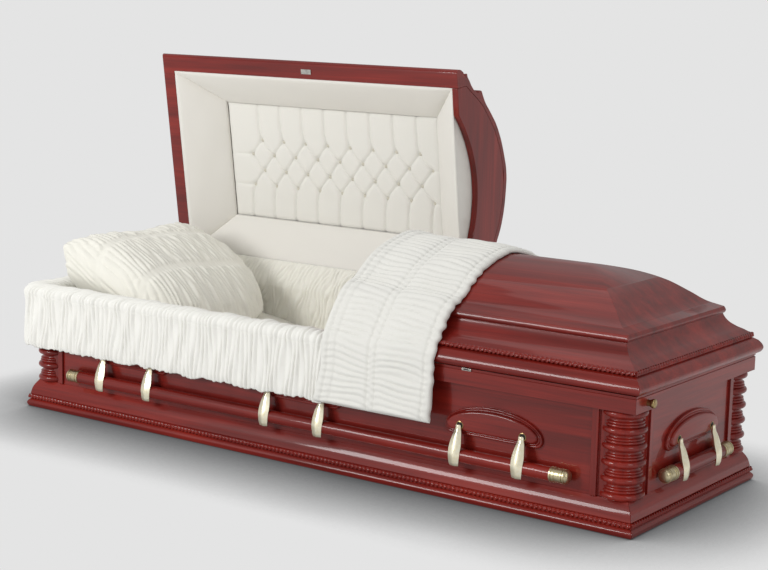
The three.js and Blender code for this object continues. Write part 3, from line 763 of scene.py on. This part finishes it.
def tufted_grid():
    x, y = np.meshgrid(np.linspace(TUFT_X0 - 3, TUFT_X1 + 3, 330),
                       np.linspace(-TUFT_Y - 3, TUFT_Y + 3, 165), indexing="ij")
    crease = np.zeros_like(x)
    for (x0, y0), (x1, y1), d0, d1 in creases():
        length2 = (x1 - x0) ** 2 + (y1 - y0) ** 2
        t = np.clip(((x - x0) * (x1 - x0) + (y - y0) * (y1 - y0)) / length2, 0, 1)
        away = np.hypot(x - x0 - t * (x1 - x0), y - y0 - t * (y1 - y0))
        easing = 0.55 + 0.45 * np.abs(2 * t - 1) ** 2 if d0 == d1 else 0.8
        depth = (d0 + (d1 - d0) * t) * easing
        crease = np.maximum(crease, depth * np.exp(-away / CREASE_WIDTH))
    pit = np.zeros_like(x)
    for bx, by in sum(buttons, []):
        pit = np.maximum(pit, np.exp(-(((x - bx) ** 2 + (y - by) ** 2) / PIT_SPREAD)))
    edge = 3 + np.minimum(np.minimum(x - TUFT_X0, TUFT_X1 - x), np.minimum(y + TUFT_Y, TUFT_Y - y))
    swell = TUFT_SWELL * (1 - np.exp(-edge / 7.0))
    h = swell - CREASE_DEPTH * crease - PIT_DEPTH * pit + 0.5 * waves(x, y, 120, 90, 3)
    return grid(np.stack([x, y, TUFT_Z - h], -1))


def button(x, y):
    p, f = turned(BUTTON_LINE, 14)
    return np.stack([x + p[:, 1], y + p[:, 2], BUTTON_Z - p[:, 0]], -1), f


panel = soft("lid_tufting", swung(tufted_grid()), TUFT, "head_lid",
             replaces=["head_lid_tufted_panel"])
soft("tuft_buttons", swung(together(*(button(x, y) for x, y in sum(buttons, [])))), BUTTON,
     "head_lid", crease=60)


# Interior: gathered lining, mattress, and the cloth over the hinge.

LINING_INSET, LINING_CORNER, LINING_STEP = 51.5, 30, 3.4
LINING_LOW, LINING_HIGH = 150.0, 346.0
LINING_PITCH, LINING_FOLD, LINING_BILLOW = 16.0, 7.0, 3.0


def path_round(inset, radius, step):
    """Rounded rectangle inside the body: points, outward normals and distance along."""
    x, y = HALF_L - inset - radius, HALF_W - inset - radius
    line = np.vstack([arc(centre, (radius, radius), np.linspace(start, start + 90, 10))
                      for *centre, start in ((x, -y, -90), (x, y, 0), (-x, y, 90), (-x, -y, 180))])
    line = np.vstack([line, line[:1]])
    total = np.sum(np.linalg.norm(np.diff(line, axis=0), axis=1))
    line, along = resample(line, int(total / step) + 1)
    n = line_normals(line)
    n[0] = n[-1] = (n[0] + n[-1]) / 2
    return line, -n, along


def lining_fold(along, height):
    """How far the gathered lining's folds and its slow billows stand inward."""
    fold = gathers(along + 0.18 * (height - LINING_LOW), height, LINING_PITCH, 11, length=150,
                   wander=0.55, sharp=0.85)
    return LINING_FOLD * fold, LINING_BILLOW * waves(along, height, 260, 180, 12)


lining_line, lining_out, lining_run = path_round(LINING_INSET, LINING_CORNER, LINING_STEP)


def lining_mesh():
    along, z = np.meshgrid(lining_run, np.linspace(LINING_LOW, LINING_HIGH, 34), indexing="ij")
    fold, billow = lining_fold(along, z)
    inward = fold * (1 - 0.5 * fade(z - 335, 14.0))
    inward = inward + billow * np.sin(math.pi * (z - LINING_LOW) / (LINING_HIGH - LINING_LOW))
    at = lining_line[:, None] - lining_out[:, None] * inward[..., None]
    return grid(np.concatenate([at, z[..., None]], -1))


lining = soft("lining_ruched", lining_mesh(), LINING, replaces=["interior_lining"], thick=2)

BED_HALF_X, BED_HALF_Y, BED_LOW = 993, 295, 120.0
BED_FLAT, BED_BEND, BED_SLOPE = 226.0, -393, (600, 100)


def bed_height(x):
    """The mattress is flat, and rises from its bend to the head end."""
    run, rise = BED_SLOPE
    return np.where(x > BED_BEND, BED_FLAT, BED_FLAT + (BED_BEND - x) / run * rise)


def mattress_mesh():
    x, y = np.meshgrid(np.linspace(-BED_HALF_X, BED_HALF_X, 160),
                       np.linspace(-BED_HALF_Y, BED_HALF_Y, 60), indexing="ij")
    crown = (1 - np.abs(y / BED_HALF_Y) ** 4) * (1 - np.abs(x / BED_HALF_X) ** 8)
    top = bed_height(x) - 10 + 12 * crown + 1.2 * waves(x, y, 200, 160, 5)
    under = np.stack([x, y, np.full_like(top, BED_LOW)], -1)[::8, ::8]
    return together(grid(np.stack([x, y, top], -1)), grid(under))


mattress = soft("mattress_pad", mattress_mesh(), LINING, replaces=["mattress"])

COVER_X0, COVER_X1, COVER_COLUMNS, COVER_ROWS = -988, 100, 520, 66
# The cloth over the hinge, from inside the back lining up to the lid padding, as [Y, Z].
COVER_LINE = [(301, 214), (301, 334), (302, 350), (308, 366), (320, 386), (333, 404), (347, 422)]


def hinge_cloth_mesh():
    """Cloth that carries the folds of the back lining over the hinge and up to the lid."""
    section, run = resample(spline(COVER_LINE), COVER_ROWS)
    x = np.repeat(np.linspace(COVER_X0, COVER_X1, COVER_COLUMNS)[:, None], COVER_ROWS, 1)
    back = lining_line[:, 1] > lining_line[:, 1].max() - 0.01
    along = np.interp(x[:, 0], lining_line[back, 0][::-1], lining_run[back][::-1])
    along = np.repeat(along[:, None], COVER_ROWS, 1)
    fold, billow = lining_fold(along, COVER_LINE[0][1] + run[None, :])
    n = facing(-line_normals(section), 0, (-1, 0))
    pinch = fade(run[-1] - run, 20.0) ** 0.5
    inward = 1.6 + fold * pinch + billow * np.clip(1 - run / 140.0, 0, 1) * 0.6
    return grid(np.stack([x, section[:, 0] + n[:, 0] * inward, section[:, 1] + n[:, 1] * inward],
                         -1))


cover = soft("hinge_cloth", hinge_cloth_mesh(), LINING, thick=2, loose=True)
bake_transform(cover)


# Pillow. Its lines are [distance from the head end of the bed, height above PILLOW_Z].

BED_END, PILLOW_Z = 993.1, 230
PILLOW = [(14, 112), (240, 76), (462, 38), (478, 45), (466, 72), (388, 160), (290, 226),
          (192, 272), (93, 294), (36, 289), (13, 268), (10, 190)]
PILLOW_SEAM = np.array([[10.0, 270.0], [476.0, 42.0]])
PILLOW_HALF, PILLOW_REACH = 286.0, 291.5
# Flat cross bands between the gathers: where each crosses the pillow, and half its width.
PILLOW_BANDS, BAND_HALF = (165.0, 330.0), 14.0
PILLOW_VOXEL, PILLOW_CAP = 7.0, 11.0
PILLOW_PITCH, PILLOW_FOLD, PILLOW_LUMPS = 14.5, 7.0, 2.2
SIM_FRAMES, SIM_PRESSURE = 20, 4.0


def pillow_form():
    """Closed cushion on the sloped line between its two end seams, before it is blown up."""
    loop = spline(PILLOW, steps=10, closed=True)
    loop = resample(np.vstack([loop, loop[:1]]), 181)[0][:-1]
    start, run = PILLOW_SEAM[0], PILLOW_SEAM[1] - PILLOW_SEAM[0]
    t = ((loop - start) @ run) / (run @ run)
    on_seam = start + np.clip(t, 0, 1)[:, None] * run
    w = np.linspace(-1, 1, 101)
    plump = (1 - np.abs(w) ** 4.5) ** 0.5
    xz = on_seam[:, None, :] + (loop - on_seam)[:, None, :] * plump[None, :, None]
    along = fade(xz[..., 0] - start[0], run[0])
    half = PILLOW_HALF * (1 - fade(along - 0.42, 0.60) ** 2.6) ** (1 / 2.6)
    waist = 1 - 0.035 * np.sin(math.pi * fade(along, 0.8))
    points = np.stack([xz[..., 0] - BED_END, w[None, :] * half * waist, PILLOW_Z + xz[..., 1]], -1)
    return grid(points, wrap_rows=True)


def swollen(form, voxel, cap):
    """Blows a closed form up with cloth simulation and rounds it off. No point moves beyond the
    cap. Gives the mesh and its points."""
    points, faces = form
    mesh = bpy.data.meshes.new("cushion_form")
    mesh.from_pydata((np.asarray(points, float) * MM).tolist(), [], faces)
    obj = bpy.data.objects.new("cushion_form", mesh)
    bpy.context.scene.collection.objects.link(obj)

    def taken():
        depsgraph = bpy.context.evaluated_depsgraph_get()
        return bpy.data.meshes.new_from_object(obj.evaluated_get(depsgraph))

    def coordinates(m):
        flat = np.empty(len(m.vertices) * 3)
        m.vertices.foreach_get("co", flat)
        return flat.reshape(-1, 3)

    remesh = obj.modifiers.new("even_faces", "REMESH")
    remesh.mode, remesh.voxel_size = "VOXEL", voxel * MM
    even = taken()
    obj.modifiers.clear()
    obj.data = even
    cloth = obj.modifiers.new("blown_up", "CLOTH")
    cloth.settings.quality = 5
    cloth.settings.use_pressure = True
    cloth.settings.uniform_pressure_force = SIM_PRESSURE
    cloth.settings.effector_weights.gravity = 0.0
    cloth.point_cache.frame_start, cloth.point_cache.frame_end = 1, SIM_FRAMES
    for k in range(1, SIM_FRAMES + 1):
        bpy.context.scene.frame_set(k)
    start, end = coordinates(even), coordinates(taken())
    obj.modifiers.clear()
    bpy.context.scene.frame_set(1)
    move = end - start
    far = np.linalg.norm(move, axis=1, keepdims=True)
    move *= np.minimum(1.0, cap * MM / np.maximum(far, 1e-9))
    even.vertices.foreach_set("co", (start + move).ravel())
    obj.modifiers.new("smooth", "SUBSURF").levels = 1
    done = taken()
    bpy.data.objects.remove(obj)
    return done, coordinates(done)


def ruche_pillow(mesh, points):
    """Lengthwise gathers between the flat cross bands."""
    flat = np.empty(len(mesh.vertices) * 3)
    mesh.vertex_normals.foreach_get("vector", flat)
    n = flat.reshape(-1, 3)
    p = points / MM
    x, y = p[:, 0] + BED_END, p[:, 1]
    band = np.ones_like(x)
    for at in PILLOW_BANDS:
        band *= 1 - np.exp(-(((x - at - 10 * np.sin(y / 90.0)) / BAND_HALF) ** 4))
    top = np.clip(n[:, 2] * 1.6 + 1.1, 0.25, 1)
    seam_z = PILLOW_Z + np.interp(x, PILLOW_SEAM[:, 0], PILLOW_SEAM[:, 1])
    around = y + 0.05 * x + 0.8 * np.sign(y) * np.maximum(seam_z - p[:, 2], 0)
    fold = gathers(around, x, PILLOW_PITCH, 31, length=190, wander=0.4, sharp=0.9)
    edge = np.clip((PILLOW_HALF + 6 - np.abs(y)) / 22.0, 0.25, 1)
    lumps = PILLOW_LUMPS * waves(x, y, 260, 230, 33)
    gathered = PILLOW_FOLD * fold * (0.12 + 0.88 * band) + 0.6 * (1 - band)
    amount = gathered * top * edge + lumps
    p = p + n * amount[:, None]
    p[:, 0] = np.maximum(p[:, 0], 2.5 - BED_END)
    p[:, 1] = np.clip(p[:, 1], -PILLOW_REACH, PILLOW_REACH)
    p[:, 2] = np.maximum(p[:, 2], bed_height(p[:, 0]) + 3.0)
    return p


pillow_mesh, pillow_points = swollen(pillow_form(), PILLOW_VOXEL, PILLOW_CAP)
pillow_faces = [list(polygon.vertices) for polygon in pillow_mesh.polygons]
pillow = soft("pillow_ruched", (ruche_pillow(pillow_mesh, pillow_points), pillow_faces), LINING,
              replaces=["pillow"])
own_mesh(pillow)


# Skirt: one gathered cloth from the hem up and over the rail, in two pieces that overlap.

SKIRT_X1, SKIRT_Y1, SKIRT_CORNER = 104.0, 325.5, 22.0
SKIRT_LINE = [(-4.5, 194), (-5.5, 215), (-4.5, 250), (-4.0, 300), (-4.5, 335), (-6.0, 352),
              (-6.6, 361), (-3.5, 370), (4, 376), (16, 380.5), (32, 380), (46, 374), (55, 364),
              (57, 352), (55, 338)]
SKIRT_COLUMNS, SKIRT_LAP, SKIRT_SPLIT_Z = 1000, 3, 352
SKIRT_PITCH, SKIRT_FOLD, SKIRT_BILLOW, SKIRT_TUCK = 16.5, 8.5, 1.6, 1.4
cloth_line, cloth_v = resample(spline(SKIRT_LINE), 76)
over_rail = int(np.argmax(cloth_line[:, 1] >= SKIRT_SPLIT_Z))


def skirt_path(inset):
    """Front edge from the split to the head corner, then along the head end to the back."""
    x, y, r = HALF_L - inset, HALF_W - inset, SKIRT_CORNER
    corner = arc((r - x, r - y), (r, r), np.linspace(-90, -180, 9))
    return resample(np.vstack([[(SKIRT_X1, -y)], corner, [(-x, SKIRT_Y1)]]), SKIRT_COLUMNS)


def skirt_surface():
    """The gathered cloth and its normals. Rows run along the casket edge."""
    p = np.stack([np.concatenate([skirt_path(inset)[0], np.full((SKIRT_COLUMNS, 1), z)], 1)
                  for inset, z in cloth_line], 1)
    along, up = np.meshgrid(skirt_path(-9.0)[1], cloth_v, indexing="ij")
    n = facing(surface_normals(p), (300, 20), (0, -1.0, 0.3))
    fold = gathers(along + 0.05 * up, up, SKIRT_PITCH, 51, length=300, wander=0.36, sharp=1.0)
    hem = fade(up, 12.0)
    calm = 1 - 0.5 * fade(up - cloth_v[over_rail] - 40, 50.0)
    p = p + n * (SKIRT_FOLD * fold * (0.6 + 0.4 * hem) * calm)[..., None]
    p = p + n * (SKIRT_BILLOW * waves(along, up, 150, 260, 52))[..., None]
    ragged = 3.5 * waves(along, up * 0, 130, 1, 53) + 2.0 * waves(along, up * 0, 34, 1, 54)
    p[..., 2] += ragged * np.clip(1 - up / 70.0, 0, 1)
    return p, n


cloth, cloth_n = skirt_surface()
rolled = cloth[:, over_rail - SKIRT_LAP:].copy()
tuck = np.clip(1 - np.arange(rolled.shape[1]) / SKIRT_LAP, 0, 1)
rolled -= cloth_n[:, over_rail - SKIRT_LAP:] * (SKIRT_TUCK * tuck)[None, :, None]
skirt = soft("skirt_hanging", grid(cloth[:, :over_rail + 1]), VELVET, replaces=["skirt"], thick=2)
roll_piece = soft("skirt_roll", grid(rolled), VELVET, thick=2)
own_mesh(roll_piece)
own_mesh(skirt)


# Blanket over the foot lid: two columns of cross folds between seams.

BLANKET_X0, BLANKET_X1 = 112.0, 470.0
# Underside from the front hem to the ridge, [inset, height]. It is the same on the back.
BLANKET_UNDER = [(-22.5, 199), (-13, 287.5), (-9, 369), (2, 393), (27, 432), (71, 485),
                 (112, 502.5), (148, 528), (194, 559), (252, 583), (318, 599), (345, 602.5),
                 (352.5, 603)]
BLANKET_COLUMNS = ((143.0, 272.0), (296.0, 446.0))
# Thickness, [X, thickness].
BLANKET_THICK = ((112, 26), (130, 28), (160, 22), (190, 18), (420, 15), (470, 10))
QUILT_PITCH, QUILT_FOLD, SEAM_DEPTH, SEAM_RUFFLE = 17.5, 7.0, 3.0, 1.6
LEFT_ROUND, RIGHT_ROUND, HEM_ROUND = 20.0, 9.0, 15.0


def rounding(t):
    """Quarter round from 0 at t = 0 to 1 at t = 1."""
    return np.sqrt(np.clip(1 - (1 - t) ** 2, 0, 1))


def quilting(v, x):
    """Height of the blanket over its underside, before its edges are rounded."""
    body, _ = resample(spline(BLANKET_THICK, steps=8), 200)
    h = np.interp(x, body[:, 0], body[:, 1]) + 1.6 * waves(v, x, 300, 240, 62)
    for k, (a, b) in enumerate(BLANKET_COLUMNS):
        across = fade(x - a, b - a)
        lens = np.sin(math.pi * across) ** 0.55
        slant = v + 9.0 * (across - 0.5) + 4.0 * waves(v, x, 170, 260, 61 + 7 * k)
        depth = 0.85 + 0.22 * waves(v, x * 0, 47, 1, 65 + k)
        fold = np.abs(np.sin(math.pi * slant / QUILT_PITCH)) ** 0.8
        h = h + QUILT_FOLD * lens * depth * fold - 1.5 * lens
        for seam in (a, b):
            h = h - SEAM_DEPTH * np.exp(-((x - seam) / 3.2) ** 2)
            near = np.exp(-((x - seam) / 12.0) ** 2)
            h = h + SEAM_RUFFLE * near * np.sin(2 * math.pi * slant / QUILT_PITCH)
    return h


def blanket_mesh():
    front = np.array([(a - HALF_W, b) for a, b in BLANKET_UNDER], float)
    back = np.array([(HALF_W - a, b) for a, b in BLANKET_UNDER[2:-1]], float)[::-1]
    line, v = resample(spline(np.vstack([front, back]), steps=8), 420)
    n = facing(line_normals(line), len(line) // 2, (0, 1))
    columns = 124
    vv, xx = np.meshgrid(v, np.linspace(BLANKET_X0, BLANKET_X1, columns), indexing="ij")
    h = quilting(vv, xx)
    for distance, width in ((np.minimum(vv, v[-1] - vv), HEM_ROUND),
                            (xx - BLANKET_X0, LEFT_ROUND), (BLANKET_X1 - xx, RIGHT_ROUND)):
        h = h * rounding(fade(distance, width))
    # The right edge is ragged, and the left one flares out toward the front hem.
    ragged = 2.6 * waves(vv, vv * 0, 41, 1, 64) * fade(xx - 400, 70)
    flare = 19.0 * np.clip(1 - vv / 105.0, 0, 1) ** 1.3
    x = xx + ragged - flare * np.clip(1 - (xx - BLANKET_X0) / 150.0, 0, 1)
    at = line[:, None] + n[:, None] * h[..., None]
    under = np.repeat(line[:, None], columns, 1)
    upper = np.concatenate([x[..., None], at], -1)
    lower = np.concatenate([x[..., None], under], -1)[:, ::-1]
    keep = np.concatenate([np.arange(0, columns, 8), [columns - 1]])
    return solid(np.concatenate([upper, lower[:, keep]], 1))


blanket = soft("blanket_quilted", blanket_mesh(), QUILT, "foot_lid", replaces=["blanket"])


# Stage: a pale glowing floor with a painted shadow that darkens it close to the casket, soft light
# and the camera. In metres.

FLOOR, FLOOR_FRONT = 5000.0, 5000.0 / 9
SHADE_REACH, SHADE_POWER = 0.42, 2.9


def make_floor():
    mesh = bpy.data.meshes.new("floor")
    mesh.from_pydata([(-FLOOR, -FLOOR_FRONT, 0), (FLOOR, -FLOOR_FRONT, 0), (FLOOR, FLOOR, 0),
                      (-FLOOR, FLOOR, 0)], [], [(0, 1, 2, 3)])
    obj = bpy.data.objects.new("floor", mesh)
    bpy.context.scene.collection.objects.link(obj)
    m, nodes, links, _ = new_material("studio_floor")
    # Painted contact shadow: ambient occlusion blends the floor's glow from pale grey down to dark
    # grey close to the casket.
    shade = nodes.new("ShaderNodeAmbientOcclusion")
    tune(shade, Distance=SHADE_REACH)
    shade.samples = 16
    tone = nodes.new("ShaderNodeMix")
    tone.data_type = "RGBA"
    tone.inputs[6].default_value = linear(58, 60, 62)
    tone.inputs[7].default_value = linear(228, 228, 228)
    links.new(maths(nodes, links, "POWER", shade.outputs["AO"], SHADE_POWER), tone.inputs[0])
    glow = nodes.new("ShaderNodeEmission")
    links.new(tone.outputs[2], glow.inputs["Color"])
    links.new(glow.outputs[0], nodes["Material Output"].inputs["Surface"])
    mesh.materials.append(m)
    return obj


def softbox(name, place, aim, size, power):
    """Rectangular light at a place, turned to what it aims at."""
    light = bpy.data.lights.new(name, "AREA")
    light.shape, light.size, light.size_y, light.energy = "RECTANGLE", size[0], size[1], power
    obj = bpy.data.objects.new(name, light)
    bpy.context.scene.collection.objects.link(obj)
    obj.location = place
    obj.rotation_mode = "QUATERNION"
    obj.rotation_quaternion = (Vector(aim) - Vector(place)).to_track_quat("-Z", "Y")


make_floor()

world = bpy.data.worlds.new("studio")
bpy.context.scene.world = world
world.use_nodes = True
tune(world.node_tree.nodes["Background"], Color=linear(227, 227, 227), Strength=0.62)

softbox("overhead", (0.2, 0.2, 3.6), (0, 0, 0.4), (3.4, 2.2), 20)
softbox("front_left", (-1.8, -3.8, 1.9), (-0.2, 0, 0.3), (1.7, 1.3), 92)
softbox("front_right", (3.8, -1.6, 1.9), (0.6, 0, 0.3), (1.2, 1.8), 22)

# The camera was fitted to the casket's corners and mouldings in the photograph.
CAMERA_AT = (2.92967, -4.03185, 1.30158)
YAW, PITCH, TILT = (math.radians(v) for v in (35.572, 9.592, 1.3676))
SENSOR, LENS, CLIP_END = 36.0, 82.518, 20000.0


def make_camera():
    forward = np.array([-math.sin(YAW) * math.cos(PITCH), math.cos(YAW) * math.cos(PITCH),
                        -math.sin(PITCH)])
    level = np.array([math.cos(YAW), math.sin(YAW), 0.0])
    above = np.cross(level, forward)
    right = math.cos(TILT) * level + math.sin(TILT) * above
    up = -math.sin(TILT) * level + math.cos(TILT) * above
    data = bpy.data.cameras.new("camera")
    data.sensor_width, data.lens, data.clip_end = SENSOR, LENS, CLIP_END
    obj = bpy.data.objects.new("camera", data)
    bpy.context.scene.collection.objects.link(obj)
    rows = [[right[k], up[k], -forward[k], CAMERA_AT[k]] for k in range(3)]
    obj.matrix_world = Matrix(rows + [[0, 0, 0, 1]])
    return obj


bpy.context.scene.camera = make_camera()
bpy.context.scene.view_settings.view_transform = "Standard"
